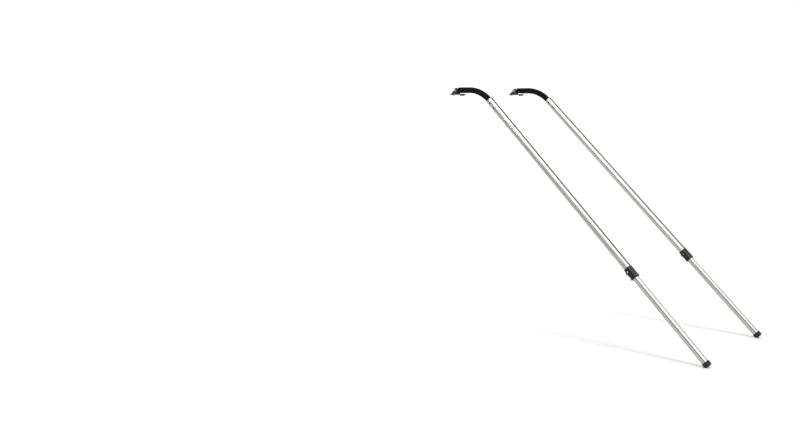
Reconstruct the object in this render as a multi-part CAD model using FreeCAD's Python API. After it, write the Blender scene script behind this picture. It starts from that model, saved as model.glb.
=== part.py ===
import FreeCAD
import Part
import math
import os

# A pair of telescoping kayak loading arms that lean from roof crossbars to the ground.
# Millimetres and degrees. +X points outward from the vehicle, down the arms,
# +Y points to the vehicle's rear and +Z up. The origin is the middle of the
# front arm's seat on its crossbar. An arm is modelled once in its own frame,
# then set down twice, front and rear.

# Where the two arms stand
ARM_SPACING = 918.0
SPLAY = 2.0
SLOPE = 44.3
HOOK_RISE = 38.0

# Hook tube and foam sleeve
TUBE_END = 36.0
HOOK_STRAIGHT = 110.0
BEND_RADIUS = 290.0
HOOK_TUBE_OD = 38.0
HOOK_TUBE_WALL = 3.0
END_FLANGE = 3.0
HOOK_INSERT = 150.0
FOAM_OD = 48.0

# Straight part of an arm, along its axis from the end of the bend
ARM_STRAIGHT = 2681.0
LOWER_SHOWN = 807.0
LOWER_LENGTH = 1500.0
UPPER_OD = 57.0
UPPER_WALL = 1.8
LOWER_OD = 51.0
LOWER_WALL = 1.8
FOAM_GAP = 0.3

# Grip grooves along the tubes: their size and their angles from the top
GROOVE_WIDTH = 1.8
GROOVE_DEPTH = 0.5
UPPER_GROOVES = (50.0, 75.0, 100.0, 125.0, 150.0)
LOWER_GROOVES = (30.0, 60.0, 90.0, 120.0, 150.0)

# Wear strip in the upper tube's top channel
STRIP_WIDTH = 16.0
STRIP_THICKNESS = 3.2
STRIP_CROWN = 0.8
STRIP_STOP = 3.0
CHANNEL_LIP = 1.6
CHANNEL_DEPTH = 2.6

# Reducer bush between the hook tube and the upper tube
BUSH_LENGTH = 120.0
BUSH_FLANGE = 2.5
JOINT_BOLT_PLACES = (36.0, 91.0)
JOINT_BOLT_RADIUS = 3.0
JOINT_HEAD_HEIGHT = 3.6
JOINT_HEAD_BEVEL = 1.2

# Lock collar, from its top end
COLLAR_LENGTH = 97.0
COLLAR_OD = 66.0
COLLAR_SOCKET = 20.0
COLLAR_CHAMFER = 2.0
KEY_COVER = 2.4
COVER_ROOT = 2.0
RIB_WIDTH = 3.0
RIB_HEIGHT = 1.0
RIB_MARGIN = 15.0
RIB_ANGLES = (30.0, -30.0, -55.0, -80.0, -105.0, -130.0)
COLLAR_SCREW_PLACE = 10.0
COLLAR_SCREW_RADIUS = 2.0
COLLAR_SCREW_HEAD = 1.6

# Cam lever, its pin and the brake shoe under it
LEVER_TURN = 115.0
PIVOT_PLACE = 32.0
PIVOT_HEIGHT = 34.5
PIN_RADIUS = 2.0
PIN_HEAD = 1.5
LEVER_WIDTH = 17.0
LEVER_HEAD = 5.0
LEVER_FLOOR = 29.0
LEVER_LIFT = 1.8
LEVER_THICKNESS = 6.0
LEVER_WAIST = 38.0
LEVER_TIP_LENGTH = 15.0
LEVER_TIP_FLARE = 8.0
LEVER_TIP_THICKNESS = 5.0
LEVER_BEVEL = 1.0
CAM_RADIUS = 5.5
CAM_OFFSET = 1.2
CAM_WIDTH = 11.0
EAR_THICKNESS = 3.6
EAR_RADIUS = 6.0
SHOE_LENGTH = 15.0
SHOE_WIDTH = 12.0

# Guide plug at the top of the lower tube
GUIDE_LENGTH = 25.0
SPIGOT_LENGTH = 30.0
SPIGOT_RIB = 3.0
GUIDE_BORE = 38.0

# Rubber foot and the plug inside it
BOOT_OD = 60.0
BOOT_LENGTH = 36.0
BOOT_FLOOR = 15.0
BOOT_EDGE = 7.0
SOLE_DROP = 14.0
PLUG_FLANGE = 3.0

# Rack bracket on the crossbar
PAD_THICKNESS = 2.0
PLATE_THICKNESS = 5.0
PLATE_MARGIN = 3.0
PLATE_OUTER = 62.0
PLATE_WIDTH = 58.0
PLATE_CORNER = 8.0
CHEEK_THICKNESS = 5.0
CHEEK_INNER = 64.0
CHEEK_OUTER = 4.0
CHEEK_TOP = 58.0
CHEEK_NOSE = 4.0
CHEEK_CREST = 12.0
CHEEK_BEVEL = 2.0
WEB_THICKNESS = 4.0
WEB_HEIGHT = 14.0
BRACKET_BOLT_PLACE = 20.0
BRACKET_BOLT_RADIUS = 4.0

# Hold-down in the crossbar's top channel
T_BOLT_RADIUS = 4.0
T_HEAD_LENGTH = 22.0
T_HEAD_WIDTH = 15.0
T_HEAD_THICKNESS = 5.0
CHANNEL_ROOF = 3.0
KNOB_RADIUS = 15.0
KNOB_HEIGHT = 13.0
KNOB_CORNER = 4.0
KNOB_ROOM = 1.5
BOLT_END_DEPTH = 2.0
KEY_START = 16.0
KEY_LENGTH = 40.0
KEY_WIDTH = 9.6
KEY_DROP = 8.0
KEY_BEVEL = 1.0
KEY_FLOOR = 2.0
KEY_SCREW_RADIUS = 2.5
KEY_SCREW_HEAD = 2.2

# Named clearances
SEAT_GAP = 0.1
RUN_GAP = 0.08
SLIDE_GAP = 0.3
SIDE_GAP = 0.6

# The bevel on turned ends, and how far one form of a solid runs into the next
END_BEVEL = 1.0
OVERRUN = 1.0

# Places that follow from the sizes above
BEND_END_X = HOOK_STRAIGHT + BEND_RADIUS * math.sin(math.radians(SLOPE))
BEND_END_Z = HOOK_RISE - BEND_RADIUS * (1.0 - math.cos(math.radians(SLOPE)))
UPPER_RADIUS = UPPER_OD / 2.0
UPPER_BORE = UPPER_RADIUS - UPPER_WALL
LOWER_RADIUS = LOWER_OD / 2.0
LOWER_BORE = LOWER_RADIUS - LOWER_WALL
HOOK_RADIUS = HOOK_TUBE_OD / 2.0
HOOK_BORE = HOOK_RADIUS - HOOK_TUBE_WALL
COLLAR_BOTTOM = ARM_STRAIGHT - LOWER_SHOWN
COLLAR_TOP = COLLAR_BOTTOM - COLLAR_LENGTH
UPPER_START = FOAM_GAP + BUSH_FLANGE
UPPER_END = COLLAR_TOP + COLLAR_SOCKET
BOOT_START = ARM_STRAIGHT - BOOT_LENGTH
LOWER_END = ARM_STRAIGHT - BOOT_FLOOR - PLUG_FLANGE
LOWER_START = LOWER_END - LOWER_LENGTH
GROUND = (BEND_END_Z - ARM_STRAIGHT * math.sin(math.radians(SLOPE))
          - SOLE_DROP * math.cos(math.radians(SLOPE)))
PLATE_BOTTOM = PAD_THICKNESS
PLATE_TOP = PLATE_BOTTOM + PLATE_THICKNESS
CHEEK_INSIDE = HOOK_RADIUS + SEAT_GAP
WEB_PLACE = TUBE_END + END_FLANGE + SEAT_GAP
T_BOLT_PLACE = WEB_PLACE + WEB_THICKNESS + KNOB_ROOM + KNOB_RADIUS
PLATE_INNER = T_BOLT_PLACE + KNOB_RADIUS + PLATE_MARGIN

AXIS_X = FreeCAD.Vector(1, 0, 0)
AXIS_Y = FreeCAD.Vector(0, 1, 0)
AXIS_Z = FreeCAD.Vector(0, 0, 1)
ORIGIN = FreeCAD.Vector(0, 0, 0)


# Simple solids

def rod_x(radius, start, end, y=0.0, z=0.0):
    return Part.makeCylinder(radius, end - start, FreeCAD.Vector(start, y, z), AXIS_X)


def rod_y(radius, start, end, x=0.0, z=0.0):
    return Part.makeCylinder(radius, end - start, FreeCAD.Vector(x, start, z), AXIS_Y)


def rod_z(radius, start, end, x=0.0, y=0.0):
    return Part.makeCylinder(radius, end - start, FreeCAD.Vector(x, y, start), AXIS_Z)


def block(x0, x1, y0, y1, z0, z1):
    return Part.makeBox(x1 - x0, y1 - y0, z1 - z0, FreeCAD.Vector(x0, y0, z0))


def turned(profile):
    """A closed outline of (place along X, radius) points, turned about the X axis."""
    corners = [FreeCAD.Vector(along, 0, radius) for along, radius in profile]
    outline = Part.makePolygon(corners + corners[:1])
    return Part.Face(outline).revolve(ORIGIN, AXIS_X, 360)


def extruded(corners, direction):
    """A closed outline of corners, extruded along a vector."""
    return Part.Face(Part.makePolygon(corners + corners[:1])).extrude(direction)


def side_plate(outline, y0, y1):
    """An outline of (x, z) points, extruded from y0 to y1."""
    corners = [FreeCAD.Vector(x, y0, z) for x, z in outline]
    return extruded(corners, FreeCAD.Vector(0, y1 - y0, 0))


def hexagon_y(across_flats, start, end, x=0.0, z=0.0):
    """A hexagon head or nut whose axis lies along Y."""
    reach = across_flats / math.sqrt(3.0)
    corners = []
    for step in range(6):
        angle = math.radians(60.0 * step)
        corners.append((x + reach * math.cos(angle), z + reach * math.sin(angle)))
    return side_plate(corners, start, end)


def turned_about_x(shape, degrees):
    moved = shape.copy()
    moved.rotate(ORIGIN, AXIS_X, degrees)
    return moved


def moved_along(shape, distance):
    moved = shape.copy()
    moved.translate(FreeCAD.Vector(distance, 0, 0))
    return moved


def on_slope(shape):
    """From the straight tubes' own frame, with X down the axis, to the arm's frame."""
    moved = shape.copy()
    moved.rotate(ORIGIN, AXIS_Y, SLOPE)
    moved.translate(FreeCAD.Vector(BEND_END_X, 0, BEND_END_Z))
    return moved


# Hook tube and what lines and covers it

def bent_run(radius, start, past_bend):
    """A round bar along the hook: straight from start, the bend, then down the slope."""
    straight = rod_x(radius, start, HOOK_STRAIGHT, z=HOOK_RISE)
    disc = Part.Face(Part.Wire(Part.makeCircle(
        radius, FreeCAD.Vector(HOOK_STRAIGHT, 0, HOOK_RISE), AXIS_X)))
    centre = FreeCAD.Vector(HOOK_STRAIGHT, 0, HOOK_RISE - BEND_RADIUS)
    run = straight.fuse(disc.revolve(centre, AXIS_Y, SLOPE))
    if past_bend > 0:
        run = run.fuse(on_slope(rod_x(radius, 0, past_bend)))
    return run.removeSplitter()


def hook_tube():
    tube = bent_run(HOOK_RADIUS, -TUBE_END, HOOK_INSERT)
    tube = tube.cut(bent_run(HOOK_BORE, -TUBE_END, HOOK_INSERT))
    tube = tube.cut(rod_y(BRACKET_BOLT_RADIUS + SEAT_GAP, -HOOK_TUBE_OD, HOOK_TUBE_OD,
                          x=-BRACKET_BOLT_PLACE, z=HOOK_RISE))
    for place in JOINT_BOLT_PLACES:
        hole = rod_y(JOINT_BOLT_RADIUS + SEAT_GAP, -UPPER_OD, UPPER_OD, x=place)
        tube = tube.cut(on_slope(hole))
    return tube


def hook_end_plug():
    """A cap on the tube's inner end, whose spigot carries the bracket's bolt."""
    flange_start = -TUBE_END - END_FLANGE
    plug = turned([(flange_start, 0), (flange_start, HOOK_RADIUS - END_BEVEL),
                   (flange_start + END_BEVEL, HOOK_RADIUS), (-TUBE_END, HOOK_RADIUS),
                   (-TUBE_END, HOOK_BORE - SEAT_GAP), (-CHEEK_OUTER, HOOK_BORE - SEAT_GAP),
                   (-CHEEK_OUTER, 0)])
    plug.translate(FreeCAD.Vector(0, 0, HOOK_RISE))
    return plug.cut(rod_y(BRACKET_BOLT_RADIUS + SEAT_GAP, -HOOK_TUBE_OD, HOOK_TUBE_OD,
                          x=-BRACKET_BOLT_PLACE, z=HOOK_RISE))


def foam_sleeve():
    sleeve = bent_run(FOAM_OD / 2.0, 0.0, 0.0)
    return sleeve.cut(bent_run(HOOK_RADIUS + SLIDE_GAP, -OVERRUN, OVERRUN))


def reducer_bush():
    bush = turned([(FOAM_GAP, HOOK_RADIUS + SEAT_GAP), (FOAM_GAP, UPPER_RADIUS - END_BEVEL),
                   (FOAM_GAP + END_BEVEL, UPPER_RADIUS), (UPPER_START, UPPER_RADIUS),
                   (UPPER_START, UPPER_BORE - SEAT_GAP),
                   (BUSH_LENGTH, UPPER_BORE - SEAT_GAP),
                   (BUSH_LENGTH, HOOK_RADIUS + SEAT_GAP)])
    for place in JOINT_BOLT_PLACES:
        bush = bush.cut(rod_y(JOINT_BOLT_RADIUS + SEAT_GAP, -UPPER_OD, UPPER_OD, x=place))
    return on_slope(bush)


def joint_bolts():
    """Two bolts across the joint, their bevelled heads to the front."""
    head_radius = 2.0 * JOINT_BOLT_RADIUS
    nut_room = 2.2 * JOINT_BOLT_RADIUS
    bolts = []
    for place in JOINT_BOLT_PLACES:
        bolt = turned([(0, 0), (0, head_radius - JOINT_HEAD_BEVEL),
                       (JOINT_HEAD_BEVEL, head_radius), (JOINT_HEAD_HEIGHT, head_radius),
                       (JOINT_HEAD_HEIGHT, JOINT_BOLT_RADIUS),
                       (JOINT_HEAD_HEIGHT + UPPER_OD + nut_room, JOINT_BOLT_RADIUS),
                       (JOINT_HEAD_HEIGHT + UPPER_OD + nut_room, 0)])
        bolt.rotate(ORIGIN, AXIS_Z, 90)
        bolt.translate(FreeCAD.Vector(place, -UPPER_RADIUS - JOINT_HEAD_HEIGHT, 0))
        bolts.append(bolt)
    return on_slope(Part.makeCompound(bolts))


def joint_nuts():
    """Two hexagon nuts at the back of the joint."""
    nuts = []
    for place in JOINT_BOLT_PLACES:
        nut = hexagon_y(3.3 * JOINT_BOLT_RADIUS, UPPER_RADIUS,
                        UPPER_RADIUS + 1.8 * JOINT_BOLT_RADIUS, x=place)
        nuts.append(nut.cut(rod_y(JOINT_BOLT_RADIUS + SEAT_GAP, 0, UPPER_OD, x=place)))
    return on_slope(Part.makeCompound(nuts))


# Upper tube and its wear strip

def grooved_rod(radius, start, end, angles):
    """A round bar with shallow grooves along both sides, at angles from the top."""
    cutters = []
    half = GROOVE_WIDTH / 2.0
    for side in (-1, 1):
        for angle in angles:
            corners = [FreeCAD.Vector(start, 0, radius - GROOVE_DEPTH),
                       FreeCAD.Vector(start, half, radius + GROOVE_DEPTH / 4.0),
                       FreeCAD.Vector(start, -half, radius + GROOVE_DEPTH / 4.0)]
            cutter = extruded(corners, FreeCAD.Vector(end - start, 0, 0))
            cutters.append(turned_about_x(cutter, side * angle))
    return rod_x(radius, start, end).cut(Part.makeCompound(cutters))


def channel_bar(start, end, width, top):
    """A bar along the tube's top, from inside the tube's wall up to the given height."""
    return block(start, end, -width / 2.0, width / 2.0, UPPER_BORE + UPPER_WALL / 3.0, top)


def upper_tube():
    channel_top = UPPER_RADIUS + CHANNEL_DEPTH - CHANNEL_LIP / 2.0
    tube = grooved_rod(UPPER_RADIUS, UPPER_START, UPPER_END, UPPER_GROOVES)
    tube = tube.fuse(channel_bar(UPPER_START, UPPER_END, STRIP_WIDTH + 2.0 * CHANNEL_LIP,
                                 channel_top))
    tube = tube.cut(block(UPPER_START, UPPER_END, -STRIP_WIDTH / 2.0, STRIP_WIDTH / 2.0,
                          channel_top - CHANNEL_DEPTH, channel_top + OVERRUN))
    tube = tube.cut(rod_x(UPPER_BORE, UPPER_START, UPPER_END))
    for place in JOINT_BOLT_PLACES:
        tube = tube.cut(rod_y(JOINT_BOLT_RADIUS + SEAT_GAP, -UPPER_OD, UPPER_OD, x=place))
    tube = tube.cut(rod_y(COLLAR_SCREW_RADIUS + SEAT_GAP, -UPPER_OD, UPPER_OD,
                          x=COLLAR_TOP + COLLAR_SCREW_PLACE))
    return on_slope(tube)


def wear_strip():
    """A crowned strip pressed into the channel, from the hook to the lock collar."""
    start = UPPER_START
    end = COLLAR_TOP - STRIP_STOP
    floor = UPPER_RADIUS - CHANNEL_LIP / 2.0 + SEAT_GAP
    half = STRIP_WIDTH / 2.0 - SEAT_GAP
    shoulder = floor + STRIP_THICKNESS - STRIP_CROWN
    left = FreeCAD.Vector(start, -half, shoulder)
    crest = FreeCAD.Vector(start, 0, shoulder + STRIP_CROWN)
    right = FreeCAD.Vector(start, half, shoulder)
    crown = Part.Arc(left, crest, right).toShape()
    sides = Part.makePolygon([right, FreeCAD.Vector(start, half, floor),
                              FreeCAD.Vector(start, -half, floor), left])
    outline = Part.Wire([crown] + sides.Edges)
    return on_slope(Part.Face(outline).extrude(FreeCAD.Vector(end - start, 0, 0)))


# Lock collar, cam lever and brake shoe

def collar_shell():
    """The collar's sleeve, with a raised cover over the wear strip's channel and grip ribs."""
    radius = COLLAR_OD / 2.0
    bore = LOWER_RADIUS + SLIDE_GAP
    socket = UPPER_RADIUS + SEAT_GAP
    shell = turned([(0, socket), (0, radius - COLLAR_CHAMFER), (COLLAR_CHAMFER, radius),
                    (COLLAR_LENGTH - COLLAR_CHAMFER, radius),
                    (COLLAR_LENGTH, radius - COLLAR_CHAMFER), (COLLAR_LENGTH, bore),
                    (COLLAR_SOCKET + SEAT_GAP, bore), (COLLAR_SOCKET + SEAT_GAP, socket)])
    key_half = STRIP_WIDTH / 2.0 + CHANNEL_LIP + SEAT_GAP
    key_top = UPPER_RADIUS + CHANNEL_DEPTH - CHANNEL_LIP / 2.0 + SEAT_GAP
    cover = block(0, COLLAR_LENGTH, -key_half - KEY_COVER, key_half + KEY_COVER,
                  LOWER_RADIUS + COVER_ROOT, key_top + KEY_COVER)
    shell = shell.fuse(cover)
    shell = shell.cut(block(0, COLLAR_SOCKET + SEAT_GAP, -key_half, key_half, 0, key_top))
    for angle in RIB_ANGLES:
        rib = block(RIB_MARGIN, COLLAR_LENGTH - RIB_MARGIN, -RIB_WIDTH / 2.0, RIB_WIDTH / 2.0,
                    radius - OVERRUN, radius + RIB_HEIGHT)
        shell = shell.fuse(turned_about_x(rib, angle))
    return shell


def lever_ears():
    """Two ears beside the lever, rounded about its pin."""
    inside = LEVER_WIDTH / 2.0 + SIDE_GAP
    ears = []
    for y0 in (-inside - EAR_THICKNESS, inside):
        y1 = y0 + EAR_THICKNESS
        ear = rod_y(EAR_RADIUS, y0, y1, x=PIVOT_PLACE, z=PIVOT_HEIGHT)
        root = LOWER_RADIUS + COVER_ROOT
        foot = side_plate([(PIVOT_PLACE - EAR_RADIUS, PIVOT_HEIGHT),
                           (PIVOT_PLACE - 1.6 * EAR_RADIUS, root),
                           (PIVOT_PLACE + 2.4 * EAR_RADIUS, root),
                           (PIVOT_PLACE + EAR_RADIUS, PIVOT_HEIGHT)], y0, y1)
        ears.append(ear.fuse(foot))
    return ears


def lock_collar():
    collar = collar_shell()
    half = LEVER_WIDTH / 2.0 + SIDE_GAP
    reach = COLLAR_OD
    lever_bed = block(PIVOT_PLACE - EAR_RADIUS - SIDE_GAP, COLLAR_LENGTH, -half, half,
                      LEVER_FLOOR, reach)
    window = block(PIVOT_PLACE - SHOE_LENGTH / 2.0 - SIDE_GAP,
                   PIVOT_PLACE + SHOE_LENGTH / 2.0 + SIDE_GAP,
                   -SHOE_WIDTH / 2.0 - SLIDE_GAP, SHOE_WIDTH / 2.0 + SLIDE_GAP, 0, reach)
    for ear in lever_ears():
        collar = collar.fuse(turned_about_x(ear, LEVER_TURN))
    collar = collar.cut(turned_about_x(lever_bed, LEVER_TURN))
    collar = collar.cut(turned_about_x(window, LEVER_TURN))
    pin_hole = rod_y(PIN_RADIUS + RUN_GAP, -reach, reach, x=PIVOT_PLACE, z=PIVOT_HEIGHT)
    collar = collar.cut(turned_about_x(pin_hole, LEVER_TURN))
    collar = collar.cut(rod_x(LOWER_RADIUS + SLIDE_GAP, 0, COLLAR_LENGTH))
    collar = collar.cut(rod_y(COLLAR_SCREW_RADIUS + SEAT_GAP, -reach, reach,
                              x=COLLAR_SCREW_PLACE))
    return on_slope(moved_along(collar.removeSplitter(), COLLAR_TOP))


def collar_screws():
    """A short pan-head screw on each side, through the collar into the upper tube."""
    tip = UPPER_BORE + UPPER_WALL / 3.0
    seat = COLLAR_OD / 2.0
    screw = rod_y(COLLAR_SCREW_RADIUS, tip, seat, x=COLLAR_SCREW_PLACE)
    screw = screw.fuse(rod_y(1.8 * COLLAR_SCREW_RADIUS, seat, seat + COLLAR_SCREW_HEAD,
                             x=COLLAR_SCREW_PLACE))
    screws = [turned_about_x(screw, turn) for turn in (0, 180)]
    return on_slope(moved_along(Part.makeCompound(screws), COLLAR_TOP))


def lock_lever():
    """The lever lies along the collar, with a cam under its pin and a flared tip."""
    half = LEVER_WIDTH / 2.0
    inner = LEVER_FLOOR + LEVER_LIFT
    back = inner + LEVER_THICKNESS
    tip = COLLAR_LENGTH
    flare = inner + LEVER_TIP_FLARE
    arm = side_plate([(PIVOT_PLACE + LEVER_HEAD, inner), (tip - LEVER_TIP_LENGTH, inner),
                      (tip, flare), (tip, flare + LEVER_TIP_THICKNESS),
                      (tip - LEVER_TIP_LENGTH, back), (tip - LEVER_WAIST, back),
                      (PIVOT_PLACE, PIVOT_HEIGHT + LEVER_HEAD), (PIVOT_PLACE, PIVOT_HEIGHT)],
                     -half, half)
    tip_edges = [edge for edge in arm.Edges
                 if edge.BoundBox.XMin > tip - OVERRUN or edge.BoundBox.ZMin > back - OVERRUN
                 and edge.BoundBox.YLength < OVERRUN]
    arm = arm.makeChamfer(LEVER_BEVEL, tip_edges)
    head = rod_y(LEVER_HEAD, -half, half, x=PIVOT_PLACE, z=PIVOT_HEIGHT)
    cam = rod_y(CAM_RADIUS, -CAM_WIDTH / 2.0, CAM_WIDTH / 2.0,
                x=PIVOT_PLACE, z=PIVOT_HEIGHT - CAM_OFFSET)
    hole = rod_y(PIN_RADIUS + RUN_GAP, -half, half, x=PIVOT_PLACE, z=PIVOT_HEIGHT)
    lever = arm.fuse(head).fuse(cam).removeSplitter().cut(hole)
    return on_slope(moved_along(turned_about_x(lever, LEVER_TURN), COLLAR_TOP))


def lever_pin():
    outside = LEVER_WIDTH / 2.0 + SIDE_GAP + EAR_THICKNESS
    pin = rod_y(PIN_RADIUS, -outside, outside, x=PIVOT_PLACE, z=PIVOT_HEIGHT)
    for y0 in (-outside - PIN_HEAD, outside):
        head = rod_y(1.7 * PIN_RADIUS, y0, y0 + PIN_HEAD, x=PIVOT_PLACE, z=PIVOT_HEIGHT)
        pin = pin.fuse(head)
    return on_slope(moved_along(turned_about_x(pin, LEVER_TURN), COLLAR_TOP))


def brake_shoe():
    """A block in the collar's window, hollowed to the lower tube, with the cam on its back."""
    back = PIVOT_HEIGHT - CAM_OFFSET - CAM_RADIUS - SLIDE_GAP
    shoe = block(PIVOT_PLACE - SHOE_LENGTH / 2.0, PIVOT_PLACE + SHOE_LENGTH / 2.0,
                 -SHOE_WIDTH / 2.0, SHOE_WIDTH / 2.0, 0, back)
    shoe = shoe.cut(rod_x(LOWER_RADIUS + SLIDE_GAP, 0, COLLAR_LENGTH))
    return on_slope(moved_along(turned_about_x(shoe, LEVER_TURN), COLLAR_TOP))


# Lower tube, its guide plug and its foot

def lower_tube():
    tube = grooved_rod(LOWER_RADIUS, LOWER_START, LOWER_END, LOWER_GROOVES)
    return on_slope(tube.cut(rod_x(LOWER_BORE, LOWER_START, LOWER_END)))


def cross_ribs(start, end):
    """Two crossed ribs whose corners lie inside the lower tube's bore."""
    half = SPIGOT_RIB / 2.0
    reach = math.sqrt((LOWER_BORE - SEAT_GAP) ** 2 - half ** 2)
    upright = block(start, end, -half, half, -reach, reach)
    return upright.fuse(block(start, end, -reach, reach, -half, half))


def guide_plug():
    """A ring that runs in the upper tube, with a cross-ribbed spigot in the lower tube."""
    top = LOWER_START - GUIDE_LENGTH
    ring = rod_x(UPPER_BORE - RUN_GAP, top, LOWER_START)
    ring = ring.cut(rod_x(GUIDE_BORE / 2.0, top, LOWER_START))
    return on_slope(ring.fuse(cross_ribs(top, LOWER_START + SPIGOT_LENGTH)))


def foot_plug():
    """A cross-ribbed spigot in the tube's end, whose flange spreads the load on the rubber."""
    flange = rod_x(LOWER_RADIUS, LOWER_END, LOWER_END + PLUG_FLANGE)
    return on_slope(flange.fuse(cross_ribs(LOWER_END - SPIGOT_LENGTH, LOWER_END)))


def rubber_foot():
    """A boot over the tube's end, its lower side cut level with the ground."""
    radius = BOOT_OD / 2.0
    inside = LOWER_RADIUS + SEAT_GAP
    floor = ARM_STRAIGHT - BOOT_FLOOR
    boot = turned([(BOOT_START, inside), (BOOT_START, radius),
                   (ARM_STRAIGHT - BOOT_EDGE, radius), (ARM_STRAIGHT, radius - BOOT_EDGE),
                   (ARM_STRAIGHT, 0), (floor, 0), (floor, inside)])
    boot = on_slope(boot)
    reach = 4.0 * BOOT_OD
    foot_x = BEND_END_X + ARM_STRAIGHT * math.cos(math.radians(SLOPE))
    below = block(foot_x - reach, foot_x + reach, -reach, reach, GROUND - reach, GROUND)
    return boot.cut(below)


# Rack bracket and its hold-down

def rounded_plate(x0, x1, width, z0, z1, corner):
    plate = block(x0, x1, -width / 2.0, width / 2.0, z0, z1)
    uprights = [edge for edge in plate.Edges if edge.BoundBox.ZLength > (z1 - z0) / 2.0]
    return plate.makeFillet(corner, uprights)


def channel_key_hole(gap, z0, z1):
    half = KEY_WIDTH / 2.0 + gap
    return block(KEY_START - gap, KEY_START + KEY_LENGTH + gap, -half, half, z0, z1)


def rack_bracket():
    """A cast bracket: a plate on the crossbar and two cheeks that hold the hook tube."""
    bracket = rounded_plate(-PLATE_INNER, PLATE_OUTER, PLATE_WIDTH, PLATE_BOTTOM, PLATE_TOP,
                            PLATE_CORNER)
    cheek = [(-CHEEK_INNER, PLATE_BOTTOM), (-CHEEK_INNER, PLATE_TOP + CHEEK_NOSE),
             (-CHEEK_OUTER - CHEEK_CREST, CHEEK_TOP), (-CHEEK_OUTER - CHEEK_BEVEL, CHEEK_TOP),
             (-CHEEK_OUTER, CHEEK_TOP - CHEEK_BEVEL), (-CHEEK_OUTER, PLATE_BOTTOM)]
    for y0 in (-CHEEK_INSIDE - CHEEK_THICKNESS, CHEEK_INSIDE):
        bracket = bracket.fuse(side_plate(cheek, y0, y0 + CHEEK_THICKNESS))
    half = CHEEK_INSIDE + OVERRUN
    web = block(-WEB_PLACE - WEB_THICKNESS, -WEB_PLACE, -half, half,
                PLATE_BOTTOM, PLATE_TOP + WEB_HEIGHT)
    cradle = block(-TUBE_END, -CHEEK_OUTER, -half, half,
                   PLATE_BOTTOM, HOOK_RISE - HOOK_RADIUS / 2.0)
    bracket = bracket.fuse(web).fuse(cradle)
    bracket = bracket.cut(rod_x(HOOK_RADIUS + SEAT_GAP, -WEB_PLACE, 0, z=HOOK_RISE))
    bracket = bracket.removeSplitter()
    bracket = bracket.cut(rod_y(BRACKET_BOLT_RADIUS + SEAT_GAP, -PLATE_WIDTH, PLATE_WIDTH,
                                x=-BRACKET_BOLT_PLACE, z=HOOK_RISE))
    bracket = bracket.cut(rod_z(T_BOLT_RADIUS + SLIDE_GAP, 0, PLATE_TOP, x=-T_BOLT_PLACE))
    for screw_x in key_screw_places():
        bracket = bracket.cut(rod_z(KEY_SCREW_RADIUS + SEAT_GAP, 0, PLATE_TOP, x=screw_x))
    return bracket


def seat_pad():
    """A thin rubber pad between the plate and the crossbar."""
    pad = rounded_plate(-PLATE_INNER, PLATE_OUTER, PLATE_WIDTH, 0, PAD_THICKNESS, PLATE_CORNER)
    pad = pad.cut(rod_z(T_BOLT_RADIUS + SLIDE_GAP, 0, PAD_THICKNESS, x=-T_BOLT_PLACE))
    return pad.cut(channel_key_hole(SEAT_GAP, 0, PAD_THICKNESS))


def key_screw_places():
    return (KEY_START + KEY_LENGTH * 0.25, KEY_START + KEY_LENGTH * 0.75)


def channel_key():
    """A block that sits in the crossbar's channel and stops the bracket turning."""
    key = channel_key_hole(0.0, -KEY_DROP, PLATE_BOTTOM)
    lengthwise = [edge for edge in key.Edges
                  if edge.BoundBox.ZMax < 0 and edge.BoundBox.YLength < OVERRUN]
    key = key.makeChamfer(KEY_BEVEL, lengthwise)
    for screw_x in key_screw_places():
        key = key.cut(rod_z(KEY_SCREW_RADIUS, KEY_FLOOR - KEY_DROP, PLATE_BOTTOM, x=screw_x))
    return key


def key_screws():
    """Two low-head screws from above, through the plate into the key."""
    screws = []
    for screw_x in key_screw_places():
        shank = rod_z(KEY_SCREW_RADIUS - SEAT_GAP / 2.0, KEY_FLOOR - KEY_DROP, PLATE_TOP,
                      x=screw_x)
        head = rod_z(2.0 * KEY_SCREW_RADIUS, PLATE_TOP, PLATE_TOP + KEY_SCREW_HEAD, x=screw_x)
        screws.append(shank.fuse(head))
    return Part.makeCompound(screws)


def bracket_bolt():
    """A hexagon bolt through both cheeks, the tube and its plug, head to the front."""
    outside = CHEEK_INSIDE + CHEEK_THICKNESS
    shank = rod_y(BRACKET_BOLT_RADIUS, -outside, outside + 2.2 * BRACKET_BOLT_RADIUS,
                  x=-BRACKET_BOLT_PLACE, z=HOOK_RISE)
    head = hexagon_y(3.2 * BRACKET_BOLT_RADIUS, -outside - 1.3 * BRACKET_BOLT_RADIUS, -outside,
                     x=-BRACKET_BOLT_PLACE, z=HOOK_RISE)
    return shank.fuse(head)


def bracket_nut():
    outside = CHEEK_INSIDE + CHEEK_THICKNESS
    nut = hexagon_y(3.2 * BRACKET_BOLT_RADIUS, outside, outside + 2.0 * BRACKET_BOLT_RADIUS,
                    x=-BRACKET_BOLT_PLACE, z=HOOK_RISE)
    return nut.cut(rod_y(BRACKET_BOLT_RADIUS + SEAT_GAP, 0, 2.0 * outside,
                         x=-BRACKET_BOLT_PLACE, z=HOOK_RISE))


def t_bolt():
    """A T-headed bolt whose head lies under the lips of the crossbar's channel."""
    head_top = -CHANNEL_ROOF
    head = block(-T_BOLT_PLACE - T_HEAD_LENGTH / 2.0, -T_BOLT_PLACE + T_HEAD_LENGTH / 2.0,
                 -T_HEAD_WIDTH / 2.0, T_HEAD_WIDTH / 2.0, head_top - T_HEAD_THICKNESS, head_top)
    shank = rod_z(T_BOLT_RADIUS, head_top, PLATE_TOP + KNOB_HEIGHT - BOLT_END_DEPTH,
                  x=-T_BOLT_PLACE)
    return shank.fuse(head)


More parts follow.
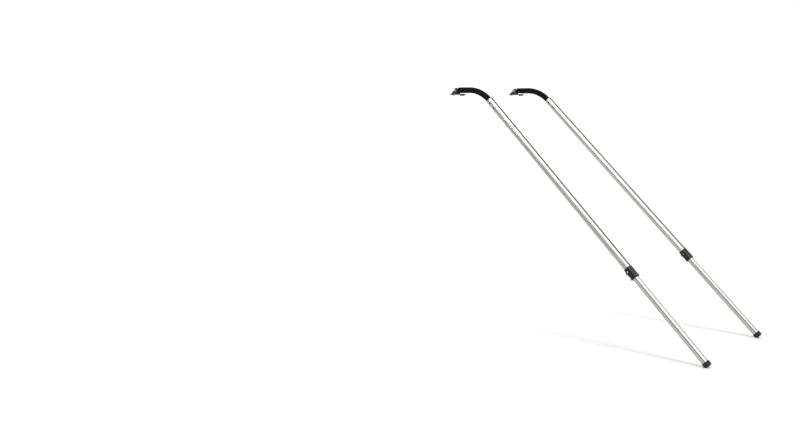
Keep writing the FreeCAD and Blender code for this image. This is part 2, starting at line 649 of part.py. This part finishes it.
def clamp_knob():
    """A six-sided knob with rounded corners that screws down on the T-bolt."""
    bottom = PLATE_TOP + SLIDE_GAP
    corners = []
    for step in range(6):
        angle = math.radians(60.0 * step)
        corners.append(FreeCAD.Vector(KNOB_RADIUS * math.cos(angle) - T_BOLT_PLACE,
                                      KNOB_RADIUS * math.sin(angle), bottom))
    knob = extruded(corners, FreeCAD.Vector(0, 0, KNOB_HEIGHT))
    uprights = [edge for edge in knob.Edges if edge.BoundBox.ZLength > KNOB_HEIGHT / 2.0]
    knob = knob.makeFillet(KNOB_CORNER, uprights)
    return knob.cut(rod_z(T_BOLT_RADIUS + RUN_GAP, bottom, bottom + KNOB_HEIGHT,
                          x=-T_BOLT_PLACE))


# Setting down the two arms

ARMS = {"front": (-SPLAY, 0.0), "rear": (SPLAY, ARM_SPACING)}

# Fixed pieces that both arms have alike: one node holds the front and the rear one
PAIRED_PIECES = {
    "rack_brackets": rack_bracket,
    "seat_pads": seat_pad,
    "channel_keys": channel_key,
    "key_screws": key_screws,
    "bracket_bolts": bracket_bolt,
    "bracket_nuts": bracket_nut,
    "hook_tubes": hook_tube,
    "hook_end_plugs": hook_end_plug,
    "foam_sleeves": foam_sleeve,
    "reducer_bushes": reducer_bush,
    "joint_bolts": joint_bolts,
    "joint_nuts": joint_nuts,
    "lock_collars": lock_collar,
    "collar_screws": collar_screws,
    "lever_pins": lever_pin,
}

# Tubes, strips and moving pieces: each arm's is a node of its own
SINGLE_PIECES = {
    "upper_tube": upper_tube,
    "wear_strip": wear_strip,
    "t_bolt": t_bolt,
    "clamp_knob": clamp_knob,
    "lock_lever": lock_lever,
    "brake_shoe": brake_shoe,
    "lower_tube": lower_tube,
    "guide_plug": guide_plug,
    "foot_plug": foot_plug,
    "rubber_foot": rubber_foot,
}


def set_down(shape, arm):
    turn, shift = ARMS[arm]
    placed = shape.copy()
    placed.rotate(ORIGIN, AXIS_Z, turn)
    placed.translate(FreeCAD.Vector(0, shift, 0))
    return placed


def main():
    os.makedirs("parts", exist_ok=True)
    for name, make in PAIRED_PIECES.items():
        shape = make()
        solids = [solid for arm in ARMS for solid in set_down(shape, arm).Solids]
        Part.makeCompound(solids).exportStep("parts/" + name + ".step")
    for name, make in SINGLE_PIECES.items():
        shape = make()
        for arm in ARMS:
            set_down(shape, arm).exportStep("parts/" + arm + "_" + name + ".step")


main()
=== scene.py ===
import math

import bpy
from mathutils import Matrix, Vector, noise


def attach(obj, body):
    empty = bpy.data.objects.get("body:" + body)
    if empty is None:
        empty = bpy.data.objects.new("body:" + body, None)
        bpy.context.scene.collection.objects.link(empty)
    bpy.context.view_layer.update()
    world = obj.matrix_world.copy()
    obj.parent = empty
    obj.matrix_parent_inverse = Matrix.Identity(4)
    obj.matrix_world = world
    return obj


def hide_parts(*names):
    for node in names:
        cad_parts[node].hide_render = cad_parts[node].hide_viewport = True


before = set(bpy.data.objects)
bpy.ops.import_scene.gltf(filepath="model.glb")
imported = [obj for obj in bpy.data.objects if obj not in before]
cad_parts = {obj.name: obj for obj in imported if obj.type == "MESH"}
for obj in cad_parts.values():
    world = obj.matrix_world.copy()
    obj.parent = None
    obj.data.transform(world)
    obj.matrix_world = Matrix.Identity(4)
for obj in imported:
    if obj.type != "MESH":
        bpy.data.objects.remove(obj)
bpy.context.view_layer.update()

# A pair of telescoping kayak loading arms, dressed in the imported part's frame.
# Metres: +X down the arms, +Y from the front arm to the rear arm, +Z up.

# Sizes of the arms
ARM_SPACING = 0.918
SPLAY = math.radians(2.0)
SLOPE = math.radians(44.3)
HOOK_RISE = 0.038
HOOK_STRAIGHT = 0.110
BEND_RADIUS = 0.290
FOAM_RADIUS = 0.024
FOAM_BORE = 0.0193
FOAM_EDGE = 0.003
FOAM_SIDES = 64
GROUND = -1.9269
BEND_END = (HOOK_STRAIGHT + BEND_RADIUS * math.sin(SLOPE), 0.0,
            HOOK_RISE - BEND_RADIUS * (1.0 - math.cos(SLOPE)))
ARMS = {"front": (-SPLAY, 0.0), "rear": (SPLAY, ARM_SPACING)}
# Facing of the brackets' slanted cheek faces, which carry a painted highlight
HIGHLIGHT_SLANT = (-0.722, 0.0, 0.692)

# Unevenness of the foam's skin: dents to a metre, and their depth
BROAD_DENTS = (38.0, 0.00035)
FINE_DENTS = (120.0, 0.00012)

# Camera, fitted to the arms in the photograph
CAMERA_PLACE = (4.574, -6.433, -0.036)
CAMERA_YAW = math.radians(129.02)
CAMERA_PITCH = math.radians(-7.04)
CAMERA_ROLL = math.radians(-0.15)
CAMERA_FOCAL_PX = 932.5
IMAGE_WIDTH = 800
SENSOR_WIDTH = 36.0
CAMERA_REACH = 200.0

# Studio: floor, overhead panel, sun, and the light that comes from all round
FLOOR_CENTRE = Vector((1.2, 0.5, GROUND))
FLOOR_REACH = 60.0
FLOOR_SIDES = 96
FLOOR_GLOW = 0.19
TUBE_DIRECTION = Vector((math.cos(SLOPE), 0.0, -math.sin(SLOPE)))
ARMS_MIDDLE = Vector((1.4, 0.46, -1.05))
OVERHEAD_SIDE = Vector((0.39, -0.36, 0.85))
OVERHEAD_DISTANCE = 3.5
OVERHEAD_LENGTH = 5.0
OVERHEAD_WIDTH = 5.2
OVERHEAD_RADIANCE = 2.4
SUN_SIDE = Vector((0.25, -0.15, 1.0))
SUN_WIDTH = math.radians(13.0)
SUN_STRENGTH = 1.2
WORLD_SIDE = (math.cos(CAMERA_YAW), math.sin(CAMERA_YAW), 0.15)
WORLD_DIM = 0.6
WORLD_DIM_UNTIL = -0.35
WORLD_BRIGHT = 1.1
WORLD_BRIGHT_FROM = 0.55

# Colours: the darkest and the lightest tone of each finish
TUBE_DARKER = ((0.335, 0.330, 0.310), (0.385, 0.380, 0.362))
TUBE_LIGHTER = ((0.410, 0.408, 0.392), (0.465, 0.463, 0.450))
STRIP_BLACK = ((0.010, 0.010, 0.014), (0.032, 0.032, 0.040))
FOAM_BLACK = ((0.003, 0.003, 0.003), (0.005, 0.005, 0.0045))
FOAM_RUBBED = ((0.005, 0.005, 0.0045), (0.009, 0.009, 0.008))
COLLAR_BLACK = ((0.004, 0.003, 0.005), (0.009, 0.008, 0.011))
LEVER_BLACK = ((0.006, 0.004, 0.007), (0.012, 0.010, 0.014))
NYLON_BLACK = ((0.018, 0.018, 0.018), (0.034, 0.034, 0.034))
FOOT_BLACK = ((0.006, 0.005, 0.008), (0.013, 0.011, 0.017))
DUST = ((0.06, 0.055, 0.052), (0.10, 0.095, 0.09))
PAD_BLACK = ((0.014, 0.014, 0.015), (0.032, 0.032, 0.033))
COAT_BLACK = ((0.020, 0.020, 0.022), (0.032, 0.032, 0.035))
# Bright metal of the painted highlight on the brackets' slanted faces
HIGHLIGHT_STEEL = ((0.45, 0.45, 0.44), (0.62, 0.62, 0.61))
ZINC = ((0.55, 0.56, 0.55), (0.72, 0.72, 0.69))
DARK_PLATE = ((0.05, 0.05, 0.05), (0.11, 0.11, 0.105))
FLOOR_PALE = ((0.71, 0.71, 0.71), (0.73, 0.73, 0.73))

# How a noise is drawn out along a tube
DRAWN_LINES = (0.004, 1.0, 1.0)
DRAWN_SCUFFS = (0.12, 1.0, 1.0)
STRIP_SCUFFS = (0.06, 1.0, 1.0)


def arm_frame(arm):
    """From an arm's own frame, with its origin at the crossbar seat, to the part's frame."""
    turn, shift = ARMS[arm]
    return Matrix.Translation((0.0, shift, 0.0)) @ Matrix.Rotation(turn, 4, "Z")


def add_camera():
    data = bpy.data.cameras.new("camera")
    data.sensor_width = SENSOR_WIDTH
    data.lens = CAMERA_FOCAL_PX * SENSOR_WIDTH / IMAGE_WIDTH
    data.clip_end = CAMERA_REACH
    camera = bpy.data.objects.new("camera", data)
    bpy.context.scene.collection.objects.link(camera)
    forward = Vector((math.cos(CAMERA_YAW) * math.cos(CAMERA_PITCH),
                      math.sin(CAMERA_YAW) * math.cos(CAMERA_PITCH), math.sin(CAMERA_PITCH)))
    right = forward.cross(Vector((0.0, 0.0, 1.0))).normalized()
    up = right.cross(forward)
    level = Matrix((right, up, -forward)).transposed().to_4x4()
    camera.matrix_world = (Matrix.Translation(CAMERA_PLACE) @ level
                           @ Matrix.Rotation(CAMERA_ROLL, 4, "Z"))
    bpy.context.scene.camera = camera


# Material building blocks

class Recipe:
    """A node material with one Principled shader and short ways to wire it."""

    def __init__(self, name):
        self.material = bpy.data.materials.new(name)
        self.material.use_nodes = True
        self.tree = self.material.node_tree
        self.shader = self.tree.nodes["Principled BSDF"]

    def node(self, kind, **settings):
        made = self.tree.nodes.new(kind)
        for key, value in settings.items():
            setattr(made, key, value)
        return made

    def link(self, source, target):
        self.tree.links.new(source, target)

    def place(self, arm=None):
        """Coordinates in metres: the part's own, or along and across one arm's straight tubes."""
        source = self.node("ShaderNodeTexCoord").outputs["Object"]
        if arm is None:
            return source
        turn, shift = ARMS[arm]
        spot = arm_frame(arm) @ Vector(BEND_END)
        into = self.node("ShaderNodeMapping", vector_type="TEXTURE")
        into.inputs["Location"].default_value = spot
        into.inputs["Rotation"].default_value = (0.0, SLOPE, turn)
        self.link(source, into.inputs["Vector"])
        return into.outputs["Vector"]

    def noise(self, coordinates, scale, detail=4.0, roughness=0.5, stretch=(1.0, 1.0, 1.0)):
        spread = self.node("ShaderNodeMapping")
        spread.inputs["Scale"].default_value = stretch
        self.link(coordinates, spread.inputs["Vector"])
        made = self.node("ShaderNodeTexNoise")
        made.inputs["Scale"].default_value = scale
        made.inputs["Detail"].default_value = detail
        made.inputs["Roughness"].default_value = roughness
        self.link(spread.outputs["Vector"], made.inputs["Vector"])
        return made.outputs["Fac"]

    def cells(self, coordinates, scale):
        made = self.node("ShaderNodeTexVoronoi")
        made.inputs["Scale"].default_value = scale
        self.link(coordinates, made.inputs["Vector"])
        return made.outputs["Distance"]

    def range(self, value, low, high, to_low, to_high):
        made = self.node("ShaderNodeMapRange")
        made.inputs["From Min"].default_value = low
        made.inputs["From Max"].default_value = high
        made.inputs["To Min"].default_value = to_low
        made.inputs["To Max"].default_value = to_high
        self.link(value, made.inputs["Value"])
        return made.outputs["Result"]

    def tones(self, value, pair, low=0.3, high=0.7):
        """The darkest tone of a pair up to low, the lightest from high on."""
        made = self.node("ShaderNodeValToRGB")
        for element, where, colour in zip(made.color_ramp.elements, (low, high), pair):
            element.position = where
            element.color = (*colour, 1.0)
        self.link(value, made.inputs["Fac"])
        return made.outputs["Color"]

    def mix(self, share, first, second):
        made = self.node("ShaderNodeMix", data_type="RGBA")
        self.link(share, made.inputs["Factor"])
        self.link(first, made.inputs["A"])
        self.link(second, made.inputs["B"])
        return made.outputs["Result"]

    def bump(self, height, strength, distance, under=None):
        made = self.node("ShaderNodeBump")
        made.inputs["Strength"].default_value = strength
        made.inputs["Distance"].default_value = distance
        self.link(height, made.inputs["Height"])
        if under is not None:
            self.link(under, made.inputs["Normal"])
        return made.outputs["Normal"]

    def finish(self, colour=None, roughness=None, normal=None, **constants):
        if colour is not None:
            self.link(colour, self.shader.inputs["Base Color"])
        if roughness is not None:
            self.link(roughness, self.shader.inputs["Roughness"])
        if normal is not None:
            self.link(normal, self.shader.inputs["Normal"])
        for socket, value in constants.items():
            self.shader.inputs[socket.replace("_", " ")].default_value = value
        return self.material


# The materials

def anodised_tube(arm=None):
    """Drawn and anodised aluminium: fine lines along the tube and faint handling marks."""
    made = Recipe("anodised_tube_" + (arm or "hooks"))
    along = made.place(arm)
    lines = made.noise(along, scale=900.0, detail=3.0, roughness=0.6, stretch=DRAWN_LINES)
    bands = made.noise(along, scale=95.0, detail=2.0, roughness=0.5, stretch=DRAWN_LINES)
    scuffs = made.noise(along, scale=60.0, detail=6.0, roughness=0.7, stretch=DRAWN_SCUFFS)
    colour = made.mix(made.range(bands, 0.36, 0.64, 0.0, 1.0),
                      made.tones(lines, TUBE_DARKER),
                      made.tones(lines, TUBE_LIGHTER))
    roughness = made.range(scuffs, 0.3, 0.75, 0.16, 0.19)
    normal = made.bump(lines, strength=0.025, distance=0.0001)
    return made.finish(colour, roughness, normal, Metallic=1.0)


def strip_rubber(arm):
    """A smooth black strip, dulled by light scuffs along its length."""
    made = Recipe("strip_rubber_" + arm)
    along = made.place(arm)
    scuffs = made.noise(along, scale=220.0, detail=5.0, roughness=0.65, stretch=STRIP_SCUFFS)
    grain = made.noise(along, scale=2600.0, detail=2.0, roughness=0.5)
    colour = made.tones(scuffs, STRIP_BLACK, low=0.35, high=0.72)
    roughness = made.range(scuffs, 0.3, 0.7, 0.50, 0.66)
    normal = made.bump(grain, strength=0.2, distance=0.0001)
    return made.finish(colour, roughness, normal, Specular_IOR_Level=0.2)


def foam_skin():
    """Closed-cell foam: a matt skin of fine pores, paler where it is rubbed."""
    made = Recipe("foam_skin")
    place = made.place()
    pores = made.cells(place, scale=1500.0)
    lumps = made.noise(place, scale=160.0, detail=4.0, roughness=0.6)
    rubbed = made.noise(place, scale=24.0, detail=4.0, roughness=0.6)
    colour = made.mix(made.range(rubbed, 0.45, 0.7, 0.0, 1.0),
                      made.tones(lumps, FOAM_BLACK),
                      made.tones(lumps, FOAM_RUBBED))
    roughness = made.range(pores, 0.0, 0.6, 0.78, 0.95)
    under = made.bump(lumps, strength=0.25, distance=0.0008)
    normal = made.bump(pores, strength=0.35, distance=0.0003, under=under)
    return made.finish(colour, roughness, normal,
                       Sheen_Weight=0.01, Sheen_Roughness=0.5, Specular_IOR_Level=0.10)


def moulded_plastic(name, pair, rough, shine=0.5):
    """Fine-textured moulded plastic."""
    made = Recipe(name)
    place = made.place()
    grain = made.noise(place, scale=1900.0, detail=3.0, roughness=0.6)
    drift = made.noise(place, scale=30.0, detail=3.0, roughness=0.5)
    roughness = made.range(grain, 0.3, 0.7, rough - 0.06, rough + 0.08)
    normal = made.bump(grain, strength=0.3, distance=0.00015)
    return made.finish(made.tones(drift, pair), roughness, normal, Specular_IOR_Level=shine)


def foot_rubber():
    """Moulded rubber, with pale dust where it meets the ground."""
    made = Recipe("foot_rubber")
    place = made.place()
    height = made.node("ShaderNodeSeparateXYZ")
    made.link(place, height.inputs["Vector"])
    patches = made.noise(place, scale=70.0, detail=5.0, roughness=0.6)
    grain = made.noise(place, scale=1300.0, detail=3.0, roughness=0.6)
    level = made.range(height.outputs["Z"], GROUND + 0.002, GROUND + 0.022, 1.0, 0.0)
    dust = made.node("ShaderNodeMath", operation="MULTIPLY")
    made.link(level, dust.inputs[0])
    made.link(made.range(patches, 0.4, 0.65, 0.0, 0.55), dust.inputs[1])
    colour = made.mix(dust.outputs[0], made.tones(patches, FOOT_BLACK), made.tones(grain, DUST))
    roughness = made.range(grain, 0.3, 0.7, 0.42, 0.58)
    normal = made.bump(grain, strength=0.3, distance=0.0002)
    return made.finish(colour, roughness, normal, Specular_IOR_Level=0.25)


def sheet_rubber():
    """The plain rubber of the pads under the brackets."""
    made = Recipe("sheet_rubber")
    grain = made.noise(made.place(), scale=1500.0, detail=3.0, roughness=0.6)
    roughness = made.range(grain, 0.3, 0.7, 0.6, 0.78)
    normal = made.bump(grain, strength=0.3, distance=0.0002)
    return made.finish(made.tones(grain, PAD_BLACK), roughness, normal)


def coated_bracket():
    """Black powder coat, with a painted highlight of bright metal in patches on the cheeks' upward
    slanted faces.
    """
    made = Recipe("coated_bracket")
    place = made.place()
    peel = made.noise(place, scale=420.0, detail=3.0, roughness=0.5)
    highlight_patches = made.noise(place, scale=260.0, detail=5.0, roughness=0.7)
    # Painted highlight: faces turned towards the slant are coloured bright metal in noise patches
    facing = made.node("ShaderNodeVectorMath", operation="DOT_PRODUCT")
    made.link(made.node("ShaderNodeNewGeometry").outputs["Normal"], facing.inputs[0])
    facing.inputs[1].default_value = HIGHLIGHT_SLANT
    edge = made.range(facing.outputs["Value"], 0.93, 0.985, 0.0, 1.0)
    painted_highlight = made.node("ShaderNodeMath", operation="MULTIPLY")
    made.link(edge, painted_highlight.inputs[0])
    made.link(made.range(highlight_patches, 0.30, 0.42, 0.0, 1.0), painted_highlight.inputs[1])
    colour = made.mix(painted_highlight.outputs[0], made.tones(peel, COAT_BLACK), made.tones(highlight_patches, HIGHLIGHT_STEEL))
    roughness = made.range(peel, 0.3, 0.7, 0.34, 0.48)
    normal = made.bump(peel, strength=0.35, distance=0.0003)
    made.link(painted_highlight.outputs[0], made.shader.inputs["Metallic"])
    return made.finish(colour, roughness, normal)


def plated_steel(name, pair, rough):
    """Plated steel: a faint cloudy passivation over fine turning marks."""
    made = Recipe(name)
    place = made.place()
    clouds = made.noise(place, scale=140.0, detail=4.0, roughness=0.6)
    marks = made.noise(place, scale=2200.0, detail=2.0, roughness=0.5)
    roughness = made.range(clouds, 0.3, 0.7, rough - 0.06, rough + 0.1)
    normal = made.bump(marks, strength=0.15, distance=0.0001)
    return made.finish(made.tones(clouds, pair), roughness, normal, Metallic=1.0)


def floor_paint():
    """Matt pale paint with a faint glow, so that the floor meets the white surroundings."""
    made = Recipe("floor_paint")
    drift = made.noise(made.place(), scale=0.35, detail=2.0, roughness=0.5)
    return made.finish(made.tones(drift, FLOOR_PALE), Roughness=0.9, Specular_IOR_Level=0.0,
                       Emission_Color=(1.0, 1.0, 1.0, 1.0), Emission_Strength=FLOOR_GLOW)


# The foam sleeve, modelled

def hook_station(along):
    """A point of the hook's centre line and its upward side, in the arm's frame."""
    if along <= HOOK_STRAIGHT:
        return Vector((along, 0.0, HOOK_RISE)), Vector((0.0, 0.0, 1.0))
    turn = (along - HOOK_STRAIGHT) / BEND_RADIUS
    outward = Vector((math.sin(turn), 0.0, math.cos(turn)))
    centre = Vector((HOOK_STRAIGHT, 0.0, HOOK_RISE - BEND_RADIUS))
    return centre + outward * BEND_RADIUS, outward


def foam_profile():
    """Stations of (place along the sleeve, radius): out over the skin and back through the bore."""
    length = HOOK_STRAIGHT + BEND_RADIUS * SLOPE
    rounds = 6
    skin = 120
    lining = 24
    rounding = []
    for step in range(rounds + 1):
        turn = math.pi / 2.0 * step / rounds
        rounding.append((FOAM_EDGE * (1.0 - math.cos(turn)),
                         FOAM_RADIUS - FOAM_EDGE * (1.0 - math.sin(turn))))
    outside = [(FOAM_EDGE + (length - 2.0 * FOAM_EDGE) * step / skin, FOAM_RADIUS)
               for step in range(1, skin)]
    far_rounding = [(length - along, radius) for along, radius in rounding[::-1]]
    bore = [(length * (1.0 - step / lining), FOAM_BORE) for step in range(lining + 1)]
    return rounding + outside + far_rounding + bore


def uneven(point):
    """How far the foam's skin stands out or in at a point."""
    depth = 0.0
    for dents, deepest in (BROAD_DENTS, FINE_DENTS):
        depth += noise.noise(point * dents) * deepest
    return depth


def foam_sleeve(arm, material):
    """One arm's sleeve, in place of the plain foam solids."""
    around = FOAM_SIDES
    points = []
    faces = []
    profile = foam_profile()
    frame_of_arm = arm_frame(arm)
    for along, radius in profile:
        centre, upward = hook_station(along)
        for step in range(around):
            turn = 2.0 * math.pi * step / around
            offset = upward * math.cos(turn) + Vector((0.0, 1.0, 0.0)) * math.sin(turn)
            point = centre + offset * radius
            if radius > FOAM_BORE:
                point = point + offset * uneven(point)
            points.append(frame_of_arm @ point)
    for ring in range(len(profile) - 1):
        for step in range(around):
            after = (step + 1) % around
            faces.append((ring * around + step, ring * around + after,
                          (ring + 1) * around + after, (ring + 1) * around + step))
    last = (len(profile) - 1) * around
    for step in range(around):
        after = (step + 1) % around
        faces.append((last + step, last + after, after, step))
    mesh = bpy.data.meshes.new(arm + "_foam")
    mesh.from_pydata(points, [], faces)
    mesh.validate()
    mesh.materials.append(material)
    for polygon in mesh.polygons:
        polygon.use_smooth = True
    sleeve = bpy.data.objects.new(arm + "_foam", mesh)
    bpy.context.scene.collection.objects.link(sleeve)
    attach(sleeve, "mounted")
    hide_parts("foam_sleeves")
    return sleeve


# Finishes on the CAD nodes

def dress(node, material):
    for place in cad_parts[node].material_slots:
        place.material = material


def dress_pairs(finishes):
    """Dress the nodes that hold a piece of each arm."""
    choices = {
        "hooks": ("hook_tubes",),
        "bracket": ("rack_brackets",),
        "collar": ("lock_collars",),
        "nylon": ("channel_keys", "hook_end_plugs", "reducer_bushes"),
        "zinc": ("key_screws", "bracket_bolts", "bracket_nuts", "lever_pins"),
        "dark_steel": ("joint_bolts", "joint_nuts", "collar_screws"),
        "rubber": ("seat_pads",),
    }
    for finish, nodes in choices.items():
        for node in nodes:
            dress(node, finishes[finish])


def dress_arm(arm, shared):
    """Dress the nodes of one arm, and add its foam sleeve."""
    finishes = {**shared, "anodised": anodised_tube(arm), "strip": strip_rubber(arm)}
    choices = {
        "anodised": ("upper_tube", "lower_tube"),
        "strip": ("wear_strip",),
        "collar": ("clamp_knob",),
        "lever": ("lock_lever",),
        "nylon": ("brake_shoe", "guide_plug", "foot_plug"),
        "zinc": ("t_bolt",),
        "foot": ("rubber_foot",),
    }
    for finish, nodes in choices.items():
        for node in nodes:
            dress(arm + "_" + node, finishes[finish])
    foam_sleeve(arm, finishes["foam"])


# Studio

def add_floor():
    """A wide round floor at the height of the feet."""
    points = [FLOOR_CENTRE]
    for step in range(FLOOR_SIDES):
        turn = 2.0 * math.pi * step / FLOOR_SIDES
        edge = Vector((math.cos(turn), math.sin(turn), 0.0)) * FLOOR_REACH
        points.append(FLOOR_CENTRE + edge)
    faces = [(0, step + 1, (step + 1) % FLOOR_SIDES + 1) for step in range(FLOOR_SIDES)]
    mesh = bpy.data.meshes.new("floor")
    mesh.from_pydata(points, [], faces)
    mesh.validate()
    mesh.materials.append(floor_paint())
    floor = bpy.data.objects.new("floor", mesh)
    bpy.context.scene.collection.objects.link(floor)


def add_overhead():
    """A large panel over the arms, set along the tubes: they mirror it as a bright band."""
    data = bpy.data.lights.new("overhead", "AREA")
    data.shape = "RECTANGLE"
    data.size = OVERHEAD_LENGTH
    data.size_y = OVERHEAD_WIDTH
    data.energy = OVERHEAD_RADIANCE * math.pi * OVERHEAD_LENGTH * OVERHEAD_WIDTH
    light = bpy.data.objects.new("overhead", data)
    facing = OVERHEAD_SIDE.normalized()
    along = TUBE_DIRECTION - facing * facing.dot(TUBE_DIRECTION)
    along.normalize()
    across = facing.cross(along)
    turned = Matrix((along, across, facing)).transposed().to_4x4()
    light.matrix_world = Matrix.Translation(ARMS_MIDDLE + facing * OVERHEAD_DISTANCE) @ turned
    light.visible_camera = False
    light.visible_diffuse = False
    bpy.context.scene.collection.objects.link(light)


def add_sun():
    """A soft light from nearly overhead, for the arms' long pale shadows."""
    data = bpy.data.lights.new("sun", "SUN")
    data.angle = SUN_WIDTH
    data.energy = SUN_STRENGTH
    light = bpy.data.objects.new("sun", data)
    light.rotation_euler = SUN_SIDE.to_track_quat("Z", "Y").to_euler()
    bpy.context.scene.collection.objects.link(light)


def add_world():
    """Soft light all round, brighter on the side that the arms are seen against."""
    world = bpy.data.worlds.new("studio")
    world.use_nodes = True
    tree = world.node_tree
    background = tree.nodes["Background"]
    background.inputs["Color"].default_value = (1.0, 1.0, 1.0, 1.0)
    facing = tree.nodes.new("ShaderNodeVectorMath")
    facing.operation = "DOT_PRODUCT"
    facing.inputs[1].default_value = WORLD_SIDE
    level = tree.nodes.new("ShaderNodeMapRange")
    level.interpolation_type = "SMOOTHSTEP"
    level.inputs["From Min"].default_value = WORLD_DIM_UNTIL
    level.inputs["From Max"].default_value = WORLD_BRIGHT_FROM
    level.inputs["To Min"].default_value = WORLD_DIM
    level.inputs["To Max"].default_value = WORLD_BRIGHT
    tree.links.new(tree.nodes.new("ShaderNodeTexCoord").outputs["Generated"], facing.inputs[0])
    tree.links.new(facing.outputs["Value"], level.inputs["Value"])
    tree.links.new(level.outputs["Result"], background.inputs["Strength"])
    bpy.context.scene.world = world


add_camera()
shared_finishes = {
    "hooks": anodised_tube(),
    "bracket": coated_bracket(),
    "foam": foam_skin(),
    "collar": moulded_plastic("collar_plastic", COLLAR_BLACK, rough=0.30, shine=0.3),
    "lever": moulded_plastic("lever_plastic", LEVER_BLACK, rough=0.26, shine=0.4),
    "nylon": moulded_plastic("plain_nylon", NYLON_BLACK, rough=0.5),
    "zinc": plated_steel("zinc_steel", ZINC, rough=0.34),
    "dark_steel": plated_steel("dark_steel", DARK_PLATE, rough=0.42),
    "foot": foot_rubber(),
    "rubber": sheet_rubber(),
}
dress_pairs(shared_finishes)
for arm_name in ARMS:
    dress_arm(arm_name, shared_finishes)
add_floor()
add_world()
add_overhead()
add_sun()
bpy.context.scene.view_settings.view_transform = "Standard"
